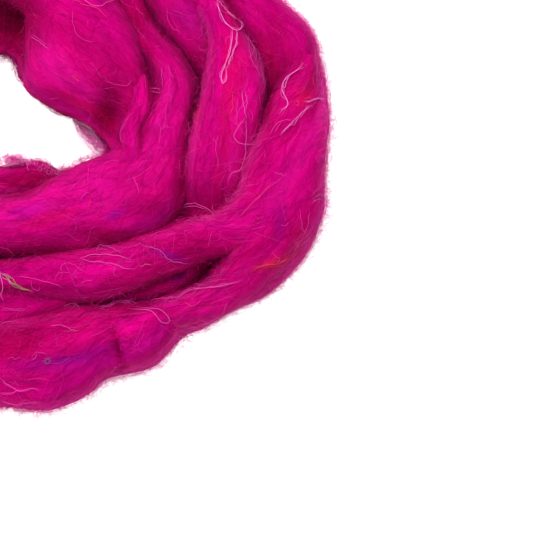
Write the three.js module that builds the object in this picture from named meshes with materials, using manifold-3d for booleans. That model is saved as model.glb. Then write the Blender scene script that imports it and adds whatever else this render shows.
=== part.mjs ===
// A coil of carded silk roving: one soft, untied length laid down flat in about six turns round an
// open eye. The outer end is tucked in under the outer turn, and each turn lies inside the last one,
// over or under its neighbours, until the inner end runs out beneath the coil.
//
// Millimetres, +Z up. The coil lies on z = 0 and the origin is the middle of its footprint.
import * as THREE from 'three';
import { mergeVertices } from 'three/addons/utils/BufferGeometryUtils.js';
import Module from 'manifold-3d';

// Driving sizes.
const PRESSED = 1.4; // how much of the roving's round underside its weight flattens
const STEP = 12; // between two sections along the roving
const SIDES = 16; // corners of a section
const SQUARENESS = 2.4; // 2 is an ellipse, and more is boxier
const SUNK = 1.6; // how far each edge of the roving sinks into the turn beside it
const BUNDLES = 4; // fibre bundles that show as ridges along the roving
const BUNDLE_DEPTH = 0.055; // of a section's half width
const TWIST_LENGTH = 310; // for one whole turn of the bundles
const LUMP_DEPTH = 0.035; // of a section's half width, thick and thin along the carded length
const LUMP_LENGTH = 47;
const SECTIONS_A_PIECE = 22; // a piece is swept on its own, and the pieces are then joined
const END_STEPS = [0.45, 0.8]; // where a piece's rounded end narrows, in sections past its last
const END_SCALES = [0.82, 0.45];

// The eye narrows to a corner at the right, so the turns are not round there. Each row is one section
// across the roving: where its edge towards the eye and its edge away from it lie, seen from above,
// and how far it reaches down and up.
const SECTION = ['innerX', 'innerY', 'outerX', 'outerY', 'under', 'top'];

// Where a turn is plain, a row gives the angle from +X, clockwise from above, and the two edges'
// distances from the coil's middle.
const ROUND_SECTION = ['at', 'inner', 'outer', 'under', 'top'];

// The turns from the outer end to the inner end: across the front right quarter, and back round.
const TURNS = [
  {
    // The outer end comes out from under the outer turn, folds over it and swings in.
    front: [
      [115, 42, 121, 47, 1, 10],
      [122, 31, 128, 34, 3, 20],
      [118, 22, 133, 20, 6, 28],
      [112, 11, 134, 5, 9, 37],
      [107, -4, 134, -9, 13, 41],
      [101, -20, 134, -26, 14, 42],
      [96, -34, 131, -44, 12, 41],
      [86, -42, 116, -59, 9, 38],
      [75, -45, 89, -60, 8, 34],
      [61, -49, 71, -65, 8, 32],
      [45, -54, 52, -74, 8, 32],
      [27, -58, 30, -80, 8, 32],
      [9, -60, 9, -79, 8, 31],
      [-9, -62, -11, -76, 8, 30],
      [-27, -63, -28, -76, 9, 30],
    ],
    back: [
      [145, 84, 104, 14, 38],
      [180, 104, 135, 14, 42],
      [215, 108, 132, 10, 39],
      [250, 109, 130, 6, 34],
      [285, 109, 128, 3, 31],
    ],
  },
  {
    // The outer turn dives under the fold, and comes out of it as the coil's broad front edge.
    front: [
      [83, 74, 96, 86, 2, 30],
      [92.7, 53, 114.5, 56, 2, 29],
      [101.5, 34, 129.8, 40, 2, 26],
      [106, 17, 132.5, 22, 1, 21],
      [109, 1, 132, 2, 0, 16],
      [107, -17, 132, -21, 0, 22],
      [99, -38, 131, -44, 0, 32],
      [91, -55, 122.8, -62.6, 0, 37],
      [82, -70, 104.6, -78.6, 0, 34],
      [74.5, -75, 92, -83, 0, 32],
      [67, -79, 80.3, -90.6, 0, 31],
      [59.5, -80, 69.5, -95, 0, 31],
      [53, -81, 62, -104, 0, 32],
      [46, -82, 56, -108.5, 0, 32],
      [38, -83, 45, -111.8, 0, 32],
      [31.5, -83, 36, -114, 0, 32],
      [24, -83, 29, -120.4, 0, 33],
      [17, -84, 20.5, -125, 0, 33],
      [9, -86, 11.5, -128.6, 0, 33],
      [0, -88, 3, -128.6, 0, 33],
      [-9, -90, -7, -127.3, 0, 32],
      [-27, -90, -29, -127, 0, 32],
    ],
    back: [
      [145, 96, 126, 0, 30],
      [180, 104, 127, 0, 28],
      [215, 102, 122, 0, 25],
      [250, 101, 118, 0, 22],
      [285, 99, 116, 0, 19],
    ],
  },
  {
    // This turn rises between its neighbours at the right, then dips under the one above it.
    front: [
      [68, 66, 81, 77, 0, 20],
      [79, 50, 90, 55, 3, 27],
      [83, 33, 100, 36, 6, 32],
      [80.5, 16, 107, 19, 8, 37],
      [77.5, 1, 107.5, 2, 9, 38],
      [75.5, -14, 105, -14, 8, 36],
      [73.4, -26, 101, -28, 4, 32],
      [72, -38, 98, -41, 0, 23],
      [65, -51, 90, -59, 0, 18],
      [54, -63, 74, -78, 0, 18],
      [34, -67, 40, -84, 0, 19],
      [14, -72, 16, -87, 0, 22],
      [-7, -74, -6, -91, 0, 25],
      [-27, -74, -28, -91, 0, 25],
    ],
    back: [
      [145, 80, 98, 0, 26],
      [180, 84, 106, 0, 27],
      [215, 88, 108, 1, 27],
      [250, 92, 111, 2, 28],
      [280, 95, 114, 2, 28],
    ],
  },
  {
    // This one is on top behind the eye, and dives under the turn outside it.
    front: [
      [38, 78, 55, 95, 2, 28],
      [51.5, 60, 75, 67, 2, 29],
      [60, 43, 87, 49, 2, 26],
      [69.5, 32, 90, 34, 1, 21],
      [75.5, 23.5, 91, 27, 0, 17],
      [79.5, 15, 91, 18, 0, 14],
      [77, -1, 90, 0, 0, 13],
      [72, -26, 89, -29, 0, 13],
      [61, -44, 76, -56, 0, 16],
      [34, -54, 39, -69, 0, 14],
      [7, -56, 8, -70, 0, 15],
      [-27, -57, -28, -70, 0, 16],
    ],
    back: [
      [145, 68, 86, 0, 20],
      [180, 74, 90, 0, 22],
      [215, 80, 96, 0, 24],
      [250, 86, 100, 1, 25],
    ],
  },
  {
    // This turn widens as it passes the eye's corner and runs along the eye's front.
    front: [
      [20, 80, 37, 94, 2, 26],
      [36, 61, 54, 59, 2, 19],
      [46, 41, 59.2, 43, 2, 23],
      [57.3, 27.5, 69.5, 30, 2, 28],
      [59, 15, 77, 15.5, 2, 30],
      [54.5, 2, 75.2, 4, 2, 30],
      [48, -8, 73, -13, 2, 30],
      [39.5, -13.7, 71, -30, 2, 30.5],
      [28.5, -18.2, 66, -43, 2, 31],
      [20.3, -23, 50, -51.5, 2, 31.5],
      [11, -27.6, 26, -57, 2, 32],
      [1, -32.6, 8, -58.5, 2, 32],
      [-10, -34.5, -9, -60, 2, 31],
      [-27, -35, -28, -60, 2, 31],
    ],
    back: [
      [145, 57, 72, 2, 26],
      [180, 58, 77, 3, 29],
      [215, 59, 82, 4, 30],
      [250, 58, 90, 5, 31],
    ],
  },
  {
    // The broad bright turn comes down the right of the eye, and dives under the one outside it.
    front: [
      [-10, 57, 21, 80, 5, 32],
      [0, 49, 35, 61, 4, 33],
      [1.5, 33, 48.5, 40, 3, 33],
      [3, 17, 52.5, 26, 2, 32],
      [13, 8, 55, 14, 2, 28],
      [27, 1, 54, 3, 2, 24],
      [35.7, -5.7, 52, -4, 2, 22],
      [40, -11.5, 53, -11, 2, 22],
      [39, -15.5, 54, -28, 3, 26],
      [26, -21.5, 45, -41, 4, 28],
      [16, -27, 28, -50, 5, 29],
      [4, -32.5, 9, -54, 6, 29],
      [-10, -35.5, -9, -57, 6, 28],
      [-27, -36, -27, -57, 6, 28],
    ],
    back: [
      [145, 40, 58, 5, 28],
      [180, 43, 61, 3, 25],
      [215, 41, 62, 1, 22],
      [250, 34.4, 63, 0, 19],
    ],
  },
  {
    // The inner end runs beneath the broad turn, shows again at the eye's front edge, and is lost.
    front: [
      [-4.6, 28, 12, 46, 0, 19],
      [-2.8, 22.4, 18, 36, 0, 18],
      [3.2, 17.5, 25, 28, 0, 18],
      [14.3, 5.8, 34, 13, 0, 17],
      [29.8, -0.2, 42, 5, 0, 15],
      [34, -6.4, 46, -4, 0, 14],
      [37.2, -12.2, 46, -14, 0, 14],
      [34, -17, 43, -24, 0, 14],
      [15.2, -25, 19, -34, 0, 15],
      [9.5, -21.8, 11, -35, 0, 15.5],
      [4, -20, 4, -36, 0, 16],
      [-11, -22.5, -11, -38, 0, 16],
      [-27, -21, -27, -37, 0, 16],
    ],
    back: [
      [150, 38, 54, 0, 14],
      [168, 45, 57, 0, 9],
    ],
  },
];

// Two locks that have parted from the roving. One stands up along the outer side of the broad turn at the
// eye's corner. The other is the half of the fold that runs on into the outer turn, not into the next one.
const CORNER_LOCK = [
  [44, 46, 50, 43, 6, 14],
  [46.5, 30, 53, 30, 5, 21],
  [48.5, 16, 57.5, 16, 4, 27],
  [47, 6, 58, 6, 4, 28.5],
  [42.6, -4, 55.5, -4.6, 7, 29],
  [44, -14, 54, -18, 8, 28],
  [37, -26, 48, -34, 8, 26],
];
const FOLD_LOCK = [
  [104, -24, 127, -27, 16, 36],
  [102, -40, 127, -42, 16, 41],
  [96, -53, 120, -59, 12, 40],
  [89.5, -63, 108, -73, 8, 38],
  [83, -72, 95, -82, 6, 35.5],
  [70, -79, 78, -89.5, 5, 33],
  [52, -83.5, 57, -94, 5, 30],
];

/** One row of a table as an object, by its column names. */
function named(columns, row) {
  return Object.fromEntries(columns.map((column, i) => [column, row[i]]));
}

/** A section given by angle and radii, as one given by its two edges. */
function fromRound(row) {
  const { at, inner, outer, under, top } = named(ROUND_SECTION, row);
  const angle = THREE.MathUtils.degToRad(at);
  const [x, y] = [Math.cos(angle), -Math.sin(angle)];
  return [inner * x, inner * y, outer * x, outer * y, under, top];
}

/** The sections of a run of rows, one after another at about the same step. */
function sectionsAlong(table) {
  const rows = table.map((row) => named(SECTION, row));
  const smooth = (points) => new THREE.CatmullRomCurve3(points, false, 'centripetal');
  const innerEdge = smooth(rows.map((r) => new THREE.Vector3(r.innerX, r.innerY, r.under)));
  const outerEdge = smooth(rows.map((r) => new THREE.Vector3(r.outerX, r.outerY, r.top)));
  const spans = rows.length - 1;
  const sections = [];
  for (let i = 0; i < spans; i += 1) {
    const middles = [i, i + 1].map((j) => new THREE.Vector2(rows[j].innerX + rows[j].outerX,
      rows[j].innerY + rows[j].outerY).divideScalar(2));
    const count = Math.max(1, Math.round(middles[0].distanceTo(middles[1]) / STEP));
    for (let k = 0; k < count; k += 1) {
      const place = (i + k / count) / spans;
      sections.push({ inner: innerEdge.getPoint(place), outer: outerEdge.getPoint(place) });
    }
  }
  return sections;
}

/** The corners of one section: a soft square with the ridges of the twisted bundles on it. */
function corners({ inner, outer }, along, scale) {
  const half = (outer.z - inner.z + PRESSED) / 2;
  const across = new THREE.Vector3(outer.x - inner.x, outer.y - inner.y, 0).divideScalar(2);
  const middle = new THREE.Vector3(inner.x, inner.y, outer.z - half).add(across);
  across.setLength(across.length() + SUNK);
  const lump = 1 + LUMP_DEPTH * Math.sin((along / LUMP_LENGTH) * 2 * Math.PI);
  const points = [];
  for (let k = 0; k < SIDES; k += 1) {
    const turn = (k / SIDES) * 2 * Math.PI;
    const [c, s] = [Math.cos(turn), Math.sin(turn)];
    const twist = (along / TWIST_LENGTH) * 2 * Math.PI;
    const ridge = 1 + BUNDLE_DEPTH * Math.cos(BUNDLES * (turn - twist));
    const size = scale * lump * ridge;
    const u = Math.sign(c) * Math.abs(c) ** (2 / SQUARENESS) * size;
    const v = Math.sign(s) * Math.abs(s) ** (2 / SQUARENESS) * size;
    points.push(middle.clone().addScaledVector(across, u).add(new THREE.Vector3(0, 0, v * half)));
  }
  return points;
}

/** A closed skin over rings of corners, with a fan at each end. */
function skin(rings) {
  const positions = rings.flat().flatMap((p) => [p.x, p.y, p.z]);
  const faces = [];
  for (let i = 0; i + 1 < rings.length; i += 1) {
    for (let k = 0; k < SIDES; k += 1) {
      const [a, b] = [i * SIDES + k, i * SIDES + ((k + 1) % SIDES)];
      faces.push(a, b, a + SIDES, b, b + SIDES, a + SIDES);
    }
  }
  const last = (rings.length - 1) * SIDES;
  for (let k = 1; k + 1 < SIDES; k += 1) {
    faces.push(0, k + 1, k, last, last + k, last + k + 1);
  }
  const geometry = new THREE.BufferGeometry();
  geometry.setAttribute('position', new THREE.Float32BufferAttribute(positions, 3));
  geometry.setIndex(faces);
  return geometry;
}

const wasm = await Module();
wasm.setup();

/** A closed geometry as a solid that can be joined and cut. */
function solidOf(geometry) {
  geometry.deleteAttribute('normal');
  geometry.deleteAttribute('uv');
  const merged = mergeVertices(geometry);
  return new wasm.Manifold(new wasm.Mesh({
    numProp: 3,
    vertProperties: new Float32Array(merged.attributes.position.array),
    triVerts: new Uint32Array(merged.index.array),
  }));
}

/** One stretch of the roving between two of its sections, with rounded ends inside its neighbours. */
function stretch(sections, from, to) {
  const between = (place) => {
    const i = Math.min(Math.max(Math.floor(place), 0), sections.length - 2);
    const mix = (edge) => sections[i][edge].clone().lerp(sections[i + 1][edge], place - i);
    return { inner: mix('inner'), outer: mix('outer') };
  };
  const ring = (place, scale) => corners(between(place), place * STEP, scale);
  const start = END_STEPS.map((step, i) => ring(from - step, END_SCALES[i])).reverse();
  const end = END_STEPS.map((step, i) => ring(to + step, END_SCALES[i]));
  const middle = [];
  for (let place = from; place <= to; place += 1) middle.push(ring(place, 1));
  return solidOf(skin([...start, ...middle, ...end]));
}

/** A run of rows as stretches that overlap a little, so that each is a simple body. */
function stretches(table) {
  const sections = sectionsAlong(table);
  const last = sections.length - 1;
  const pieces = [];
  for (let from = 0; from < last; from += SECTIONS_A_PIECE) {
    pieces.push(stretch(sections, from, Math.min(from + SECTIONS_A_PIECE, last)));
  }
  return pieces;
}

/** The whole coil as one solid, pressed flat where it lies. */
function coil() {
  const roving = TURNS.flatMap(({ front, back }) => [...front, ...back.map(fromRound)]);
  const pieces = [roving, CORNER_LOCK, FOLD_LOCK].flatMap(stretches);
  const body = pieces.reduce((sum, piece) => sum.add(piece));
  const floor = new THREE.BoxGeometry(400, 400, 40).translate(0, 0, -20);
  const pressed = body.subtract(solidOf(floor));
  const shells = pressed.decompose().sort((a, b) => b.volume() - a.volume());
  return shells[0].getMesh();
}

const mesh = coil();
const geometry = new THREE.BufferGeometry();
geometry.setAttribute('position', new THREE.BufferAttribute(mesh.vertProperties, 3));
geometry.setIndex(new THREE.BufferAttribute(mesh.triVerts, 1));
geometry.computeVertexNormals();

const silk = new THREE.MeshStandardMaterial({ color: 0xd4007c, roughness: 0.7, metalness: 0 });
const roving = new THREE.Mesh(geometry, silk);
roving.name = 'roving_coil';

const group = new THREE.Group();
group.add(roving);

export default group;
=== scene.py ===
import math

import bpy
import numpy as np
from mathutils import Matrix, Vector
from mathutils.bvhtree import BVHTree


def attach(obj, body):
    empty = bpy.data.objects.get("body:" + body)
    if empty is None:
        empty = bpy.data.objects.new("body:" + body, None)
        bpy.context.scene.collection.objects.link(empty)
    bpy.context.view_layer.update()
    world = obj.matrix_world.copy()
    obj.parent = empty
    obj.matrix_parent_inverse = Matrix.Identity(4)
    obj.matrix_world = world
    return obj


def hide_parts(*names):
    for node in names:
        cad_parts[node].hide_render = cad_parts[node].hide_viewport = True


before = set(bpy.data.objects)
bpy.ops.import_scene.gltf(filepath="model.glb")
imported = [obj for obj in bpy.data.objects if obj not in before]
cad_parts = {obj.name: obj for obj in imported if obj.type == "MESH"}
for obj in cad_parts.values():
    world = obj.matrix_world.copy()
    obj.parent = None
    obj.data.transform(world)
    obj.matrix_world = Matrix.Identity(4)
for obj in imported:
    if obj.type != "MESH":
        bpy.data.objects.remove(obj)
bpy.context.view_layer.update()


# The camera looks straight down on the front right quarter of the coil, from far off with a long lens. The
# left and top edges of the picture cut the coil off. Sizes in this file are in millimetres until a mesh is
# made of them.
MM = 0.001
PIXEL = 0.45
EYE_MIDDLE_PIXEL = (25, 122)
PICTURE_SIDE = 533
CAMERA_RISE = 2000
SHARP_AT = 26


def on_picture(across, down):
    """The place in the coil's frame of a place in the photograph, read there in pixels."""
    x = PIXEL * (np.asarray(across, float) - EYE_MIDDLE_PIXEL[0])
    y = PIXEL * (EYE_MIDDLE_PIXEL[1] - np.asarray(down, float))
    return x, y


def add_object(name, data):
    """A new object of the scene."""
    made = bpy.data.objects.new(name, data)
    bpy.context.scene.collection.objects.link(made)
    return made


camera_data = bpy.data.cameras.new("camera")
camera_data.lens = camera_data.sensor_width * (CAMERA_RISE - SHARP_AT) / (PIXEL * PICTURE_SIDE)
camera_data.clip_end = 10 * CAMERA_RISE * MM
camera = add_object("camera", camera_data)
camera_x, camera_y = on_picture(PICTURE_SIDE / 2, PICTURE_SIDE / 2)
camera.location = (camera_x * MM, camera_y * MM, CAMERA_RISE * MM)
bpy.context.scene.camera = camera
bpy.context.scene.view_settings.view_transform = "Standard"


# The floor and the light. A white table top runs out of sight under one broad lamp, which hangs a little
# towards the back left, and a pale room fills the shadows. The table glows faintly to the eye alone, as an
# overexposed ground does in a photograph, and lights nothing.
FLOOR_SIDE = 6000
FLOOR_WHITE = 0.95
LAMP_PLACE = (-300, 700, 1120)
LAMP_AIM = (30, -20, 0)
LAMP_SIDE = 1000
LAMP_WATTS = 19
ROOM_BRIGHTNESS = 0.52


def add_node(tree, kind, inputs, **settings):
    """A new shader node. Each of its inputs named here gets a plain value or another node's output."""
    node = tree.nodes.new("ShaderNode" + kind)
    for name, value in settings.items():
        setattr(node, name, value)
    for name, value in inputs.items():
        if isinstance(value, bpy.types.NodeSocket):
            tree.links.new(value, node.inputs[name])
        else:
            node.inputs[name].default_value = value
    return node


room = bpy.data.worlds.new("room")
room.use_nodes = True
room.node_tree.nodes["Background"].inputs["Color"].default_value = (1, 1, 1, 1)
room.node_tree.nodes["Background"].inputs["Strength"].default_value = ROOM_BRIGHTNESS
bpy.context.scene.world = room

lamp_data = bpy.data.lights.new("soft_lamp", "AREA")
lamp_data.size = LAMP_SIDE * MM
lamp_data.energy = LAMP_WATTS
lamp = add_object("soft_lamp", lamp_data)
lamp.location = Vector(LAMP_PLACE) * MM
lamp.rotation_euler = (Vector(LAMP_PLACE) - Vector(LAMP_AIM)).to_track_quat("Z", "Y").to_euler()

floor_mesh = bpy.data.meshes.new("floor")
edge = FLOOR_SIDE / 2 * MM
floor_corners = [(-edge, -edge, 0), (edge, -edge, 0), (edge, edge, 0), (-edge, edge, 0)]
floor_mesh.from_pydata(floor_corners, [], [(0, 1, 2, 3)])
floor = add_object("floor", floor_mesh)
white_board = bpy.data.materials.new("white_board")
white_board.use_nodes = True
board = white_board.node_tree
board_shader = board.nodes["Principled BSDF"]
board_shader.inputs["Base Color"].default_value = (FLOOR_WHITE, FLOOR_WHITE, FLOOR_WHITE, 1)
board_shader.inputs["Roughness"].default_value = 1.0
board_shader.inputs["Specular IOR Level"].default_value = 0.0
seen_by = add_node(board, "LightPath", {})
overexposed = add_node(board, "Emission", {"Strength": seen_by.outputs["Is Camera Ray"]})
both = add_node(board, "AddShader", {0: board_shader.outputs[0], 1: overexposed.outputs[0]})
board.links.new(both.outputs[0], board.nodes["Material Output"].inputs["Surface"])
floor_mesh.materials.append(white_board)


# The roving: one length of carded silk, laid down by hand in about six flat turns round an open eye, and
# given here from its outer end to its inner end. Each row is one section across it: where its edge towards
# the eye and its edge away from the eye are, how far it reaches down and up, and the degrees by which its
# fibres lean out from the eye as they run on.
PLAIN_LEAN = 7


def round_rows(rows):
    """Sections where a turn is plain: the angle of each from +X, clockwise from above, how far its edges
    are from the coil's middle, and how far it reaches down and up."""
    found = []
    for at, inner, outer, under, top in rows:
        x, y = math.cos(math.radians(at)), -math.sin(math.radians(at))
        found.append([inner * x, inner * y, outer * x, outer * y, under, top, PLAIN_LEAN])
    return found


# The outer end comes out from under the outer turn, folds over it and swings in.
SECTIONS = [
    [115, 42, 121, 47, 1, 10, -10],
    [122, 31, 128, 34, 3, 20, -20],
    [118, 22, 133, 20, 6, 28, -32],
    [112, 11, 134, 5, 9, 37, -36],
    [107, -4, 134, -9, 13, 41, -30],
    [101, -20, 134, -26, 14, 42, -20],
    [96, -34, 131, -44, 12, 41, -8],
    [86, -42, 116, -59, 9, 38, 0],
    [75, -45, 89, -60, 8, 34, 2],
    [61, -49, 71, -65, 8, 32, 0],
    [45, -54, 52, -74, 8, 32, -3],
    [27, -58, 30, -80, 8, 32, 0],
    [9, -60, 9, -79, 8, 31, 4],
    [-9, -62, -11, -76, 8, 30, 6],
    [-27, -63, -28, -76, 9, 30, 6],
]
SECTIONS += round_rows([
    [145, 84, 104, 14, 38], [180, 104, 135, 14, 42], [215, 108, 132, 10, 39], [250, 109, 130, 6, 34],
    [285, 109, 128, 3, 31],
])

# The outer turn dives under the fold, and comes out of it as the coil's broad front edge.
SECTIONS += [
    [83, 74, 96, 86, 2, 30, 0],
    [92.7, 53, 114.5, 56, 2, 29, 0],
    [101.5, 34, 129.8, 40, 2, 26, 4],
    [106, 17, 132.5, 22, 1, 21, 4],
    [109, 1, 132, 2, 0, 16, 0],
    [107, -17, 132, -21, 0, 22, -10],
    [99, -38, 131, -44, 0, 32, -15],
    [91, -55, 122.8, -62.6, 0, 37, -12],
    [82, -70, 104.6, -78.6, 0, 34, 0],
    [74.5, -75, 92, -83, 0, 32, 3],
    [67, -79, 80.3, -90.6, 0, 31, 6],
    [59.5, -80, 69.5, -95, 0, 31, 8],
    [53, -81, 62, -104, 0, 32, 12],
    [46, -82, 56, -108.5, 0, 32, 12],
    [38, -83, 45, -111.8, 0, 32, 12],
    [31.5, -83, 36, -114, 0, 32, 12],
    [24, -83, 29, -120.4, 0, 33, 10],
    [17, -84, 20.5, -125, 0, 33, 7],
    [9, -86, 11.5, -128.6, 0, 33, 4],
    [0, -88, 3, -128.6, 0, 33, 3],
    [-9, -90, -7, -127.3, 0, 32, 2],
    [-27, -90, -29, -127, 0, 32, 6],
]
SECTIONS += round_rows([
    [145, 96, 126, 0, 30], [180, 104, 127, 0, 28], [215, 102, 122, 0, 25], [250, 101, 118, 0, 22],
    [285, 99, 116, 0, 19],
])

# This turn rises between its neighbours at the right, then dips under the one above it.
SECTIONS += [
    [68, 66, 81, 77, 0, 20, 0],
    [79, 50, 90, 55, 3, 27, 0],
    [83, 33, 100, 36, 6, 32, -4],
    [80.5, 16, 107, 19, 8, 37, -2],
    [77.5, 1, 107.5, 2, 9, 38, 2],
    [75.5, -14, 105, -14, 8, 36, 4],
    [73.4, -26, 101, -28, 4, 32, 4],
    [72, -38, 98, -41, 0, 23, 0],
    [65, -51, 90, -59, 0, 18, 0],
    [54, -63, 74, -78, 0, 18, 6],
    [34, -67, 40, -84, 0, 19, 6],
    [14, -72, 16, -87, 0, 22, 6],
    [-7, -74, -6, -91, 0, 25, 6],
    [-27, -74, -28, -91, 0, 25, 6],
]
SECTIONS += round_rows([
    [145, 80, 98, 0, 26], [180, 84, 106, 0, 27], [215, 88, 108, 1, 27], [250, 92, 111, 2, 28],
    [280, 95, 114, 2, 28],
])

# This one is on top behind the eye, and dives under the turn outside it.
SECTIONS += [
    [38, 78, 55, 95, 2, 28, 0],
    [51.5, 60, 75, 67, 2, 29, 6],
    [60, 43, 87, 49, 2, 26, 6],
    [69.5, 32, 90, 34, 1, 21, 0],
    [75.5, 23.5, 91, 27, 0, 17, 0],
    [79.5, 15, 91, 18, 0, 14, 0],
    [77, -1, 90, 0, 0, 13, 0],
    [72, -26, 89, -29, 0, 13, 0],
    [61, -44, 76, -56, 0, 16, 6],
    [34, -54, 39, -69, 0, 14, 6],
    [7, -56, 8, -70, 0, 15, 6],
    [-27, -57, -28, -70, 0, 16, 6],
]
SECTIONS += round_rows([
    [145, 68, 86, 0, 20], [180, 74, 90, 0, 22], [215, 80, 96, 0, 24], [250, 86, 100, 1, 25],
])

# This turn widens as it passes the eye's corner, covers the innermost one and runs along the eye's front.
SECTIONS += [
    [20, 80, 37, 94, 2, 26, 0],
    [36, 61, 54, 59, 2, 19, 0],
    [46, 41, 59.2, 43, 2, 23, 0],
    [57.3, 27.5, 69.5, 30, 2, 28, 2],
    [59, 15, 77, 15.5, 2, 30, 2],
    [54.5, 2, 75.2, 4, 2, 30, 0],
    [48, -8, 73, -13, 2, 30, -2],
    [39.5, -13.7, 71, -30, 2, 30.5, -2],
    [28.5, -18.2, 66, -43, 2, 31, 0],
    [20.3, -23, 50, -51.5, 2, 31.5, 2],
    [11, -27.6, 26, -57, 2, 32, 4],
    [1, -32.6, 8, -58.5, 2, 32, 4],
    [-10, -34.5, -9, -60, 2, 31, 4],
    [-27, -35, -28, -60, 2, 31, 6],
]
SECTIONS += round_rows([
    [145, 57, 72, 2, 26], [180, 58, 77, 3, 29], [215, 59, 82, 4, 30], [250, 58, 90, 5, 31],
])

# The broad bright turn comes down the right of the eye, and dives under the one outside it.
SECTIONS += [
    [-10, 57, 21, 80, 5, 32, 18],
    [0, 49, 35, 61, 4, 33, 24],
    [1.5, 33, 48.5, 40, 3, 33, 28],
    [3, 17, 52.5, 26, 2, 32, 28],
    [13, 8, 55, 14, 2, 28, 22],
    [27, 1, 54, 3, 2, 24, 12],
    [35.7, -5.7, 52, -4, 2, 22, 6],
    [40, -11.5, 53, -11, 2, 22, 4],
    [39, -15.5, 54, -28, 3, 26, 0],
    [26, -21.5, 45, -41, 4, 28, 6],
    [16, -27, 28, -50, 5, 29, 12],
    [4, -32.5, 9, -54, 6, 29, 14],
    [-10, -35.5, -9, -57, 6, 28, 10],
    [-27, -36, -27, -57, 6, 28, 8],
]
SECTIONS += round_rows([
    [145, 40, 58, 5, 28], [180, 43, 61, 3, 25], [215, 41, 62, 1, 22], [250, 34.4, 63, 0, 19],
])

# The inner end runs beneath the broad turn, shows again at the eye's front edge, and is lost.
SECTIONS += [
    [-4.6, 28, 12, 46, 0, 19, 8],
    [-2.8, 22.4, 18, 36, 0, 18, 8],
    [3.2, 17.5, 25, 28, 0, 18, 8],
    [14.3, 5.8, 34, 13, 0, 17, 6],
    [29.8, -0.2, 42, 5, 0, 15, 6],
    [34, -6.4, 46, -4, 0, 14, 6],
    [37.2, -12.2, 46, -14, 0, 14, 6],
    [34, -17, 43, -24, 0, 14, 6],
    [15.2, -25, 19, -34, 0, 15, 6],
    [9.5, -21.8, 11, -35, 0, 15.5, 5],
    [4, -20, 4, -36, 0, 16, 4],
    [-11, -22.5, -11, -38, 0, 16, 4],
    [-27, -21, -27, -37, 0, 16, 4],
]
SECTIONS += round_rows([
    [150, 38, 54, 0, 14], [168, 45, 57, 0, 9],
])

# How square the sections are, where 2 is an ellipse, and how much longer that makes their girth. How far
# the roving sinks into its neighbours sideways and into what lies below it. How finely its skin is divided,
# and the length over which its ends close.
SQUARENESS = 2.4
FULLER_THAN_ELLIPSE = 1.06
SUNK = 1.6
PRESSED = 1.4
RING_STEP = 2.8
SIDES = 62
END_TAPER = 14

# Ridges and hollows that run with the fibres: how far each runs before it changes, how many of them lie
# round the roving, and how far they stand in or out.
RIDGES = [
    [95, 5, 1.4],
    [60, 11, 0.8],
    [34, 24, 0.35],
    [24, 9, 1.1],
    [14, 19, 0.8],
    [8, 36, 0.35],
]

# Hollows pressed or pulled into the top: their middle, their half length and half width, the degrees by
# which they are turned from +X, and how deep they are.
HOLLOWS = [
    [39, 4.5, 14, 6, 80, 8],
    [16.5, 8.5, 10, 2.2, -30, 4],
    [57.4, 17.5, 10, 1.9, 98, 11],
    [52.5, -5, 9, 1.5, 95, 5],
    [69, 30, 18, 2.4, -54, 5],
    [92, 53, 8, 3.5, -75, 7],
    [71, -30, 7, 3, 80, 8],
    [64, -43, 14, 5, 0, 5],
    [42, -103, 13, 1.9, 104, 8],
    [-11, -101, 16, 6, 90, 5],
    [76.5, -67.5, 11, 4, 34, -5],
    [-9, 44, 15, 11, 0, 14],
    [2, 46, 14, 7, 95, 7],
]


def smooth_line(points, per_span):
    """A centripetal curve through the points, with per_span stations from each point to the next."""
    points = np.asarray(points, float)
    before = 2 * points[:1] - points[1:2]
    after = 2 * points[-1:] - points[-2:-1]
    p = np.concatenate([before, points, after])
    gap = np.maximum(np.linalg.norm(np.diff(p, axis=0), axis=1), 1e-6)[:, None] ** 0.5
    a, b, c, d = p[:-3], p[1:-2], p[2:-1], p[3:]
    g, h, k = gap[:-2], gap[1:-1], gap[2:]
    leave = ((b - a) / g - (c - a) / (g + h)) * h + (c - b)
    arrive = (c - b) - ((d - b) / (h + k) - (d - c) / k) * h
    t = (np.arange(per_span) / per_span)[:, None, None]
    curve = b + leave * t + (3 * (c - b) - 2 * leave - arrive) * t**2
    curve = curve + (2 * (b - c) + leave + arrive) * t**3
    return np.concatenate([curve.transpose(1, 0, 2).reshape(-1, points.shape[1]), points[-1:]])


def run_along(line):
    """How far along a line each of its points lies."""
    return np.concatenate([[0], np.cumsum(np.linalg.norm(np.diff(line, axis=0), axis=1))])


def laid(rows):
    """A length of roving laid through its sections: what its surface is worked out from, at even steps."""
    rows = np.asarray(rows, float)
    inner = smooth_line(rows[:, [0, 1, 4]], 10)
    outer = smooth_line(rows[:, [2, 3, 5]], 10)
    lean = np.interp(np.linspace(0, len(rows) - 1, len(inner)), np.arange(len(rows)), rows[:, 6])
    run = run_along(((inner + outer) / 2)[:, :2])
    along = np.linspace(0, run[-1], round(run[-1] / RING_STEP) + 1)
    even = [np.interp(along, run, values) for values in [*inner.T, *outer.T, lean]]
    inner_x, inner_y, under, outer_x, outer_y, top, lean = even
    across = np.stack([outer_x - inner_x, outer_y - inner_y], 1)
    width = np.linalg.norm(across, axis=1)
    high = (top - under + PRESSED) / 2
    wide = width / 2 + SUNK
    ellipse = math.pi * (3 * (wide + high) - np.sqrt((3 * wide + high) * (wide + 3 * high)))
    girth = ellipse * FULLER_THAN_ELLIPSE
    return {
        "along": along,
        "x": (inner_x + outer_x) / 2,
        "y": (inner_y + outer_y) / 2,
        "z": top - high,
        "out_x": across[:, 0] / width,
        "out_y": across[:, 1] / width,
        "wide": wide,
        "high": high,
        "girth": girth,
        "drift": -np.cumsum(np.tan(np.radians(lean)) * np.gradient(along) / girth),
    }


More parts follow.
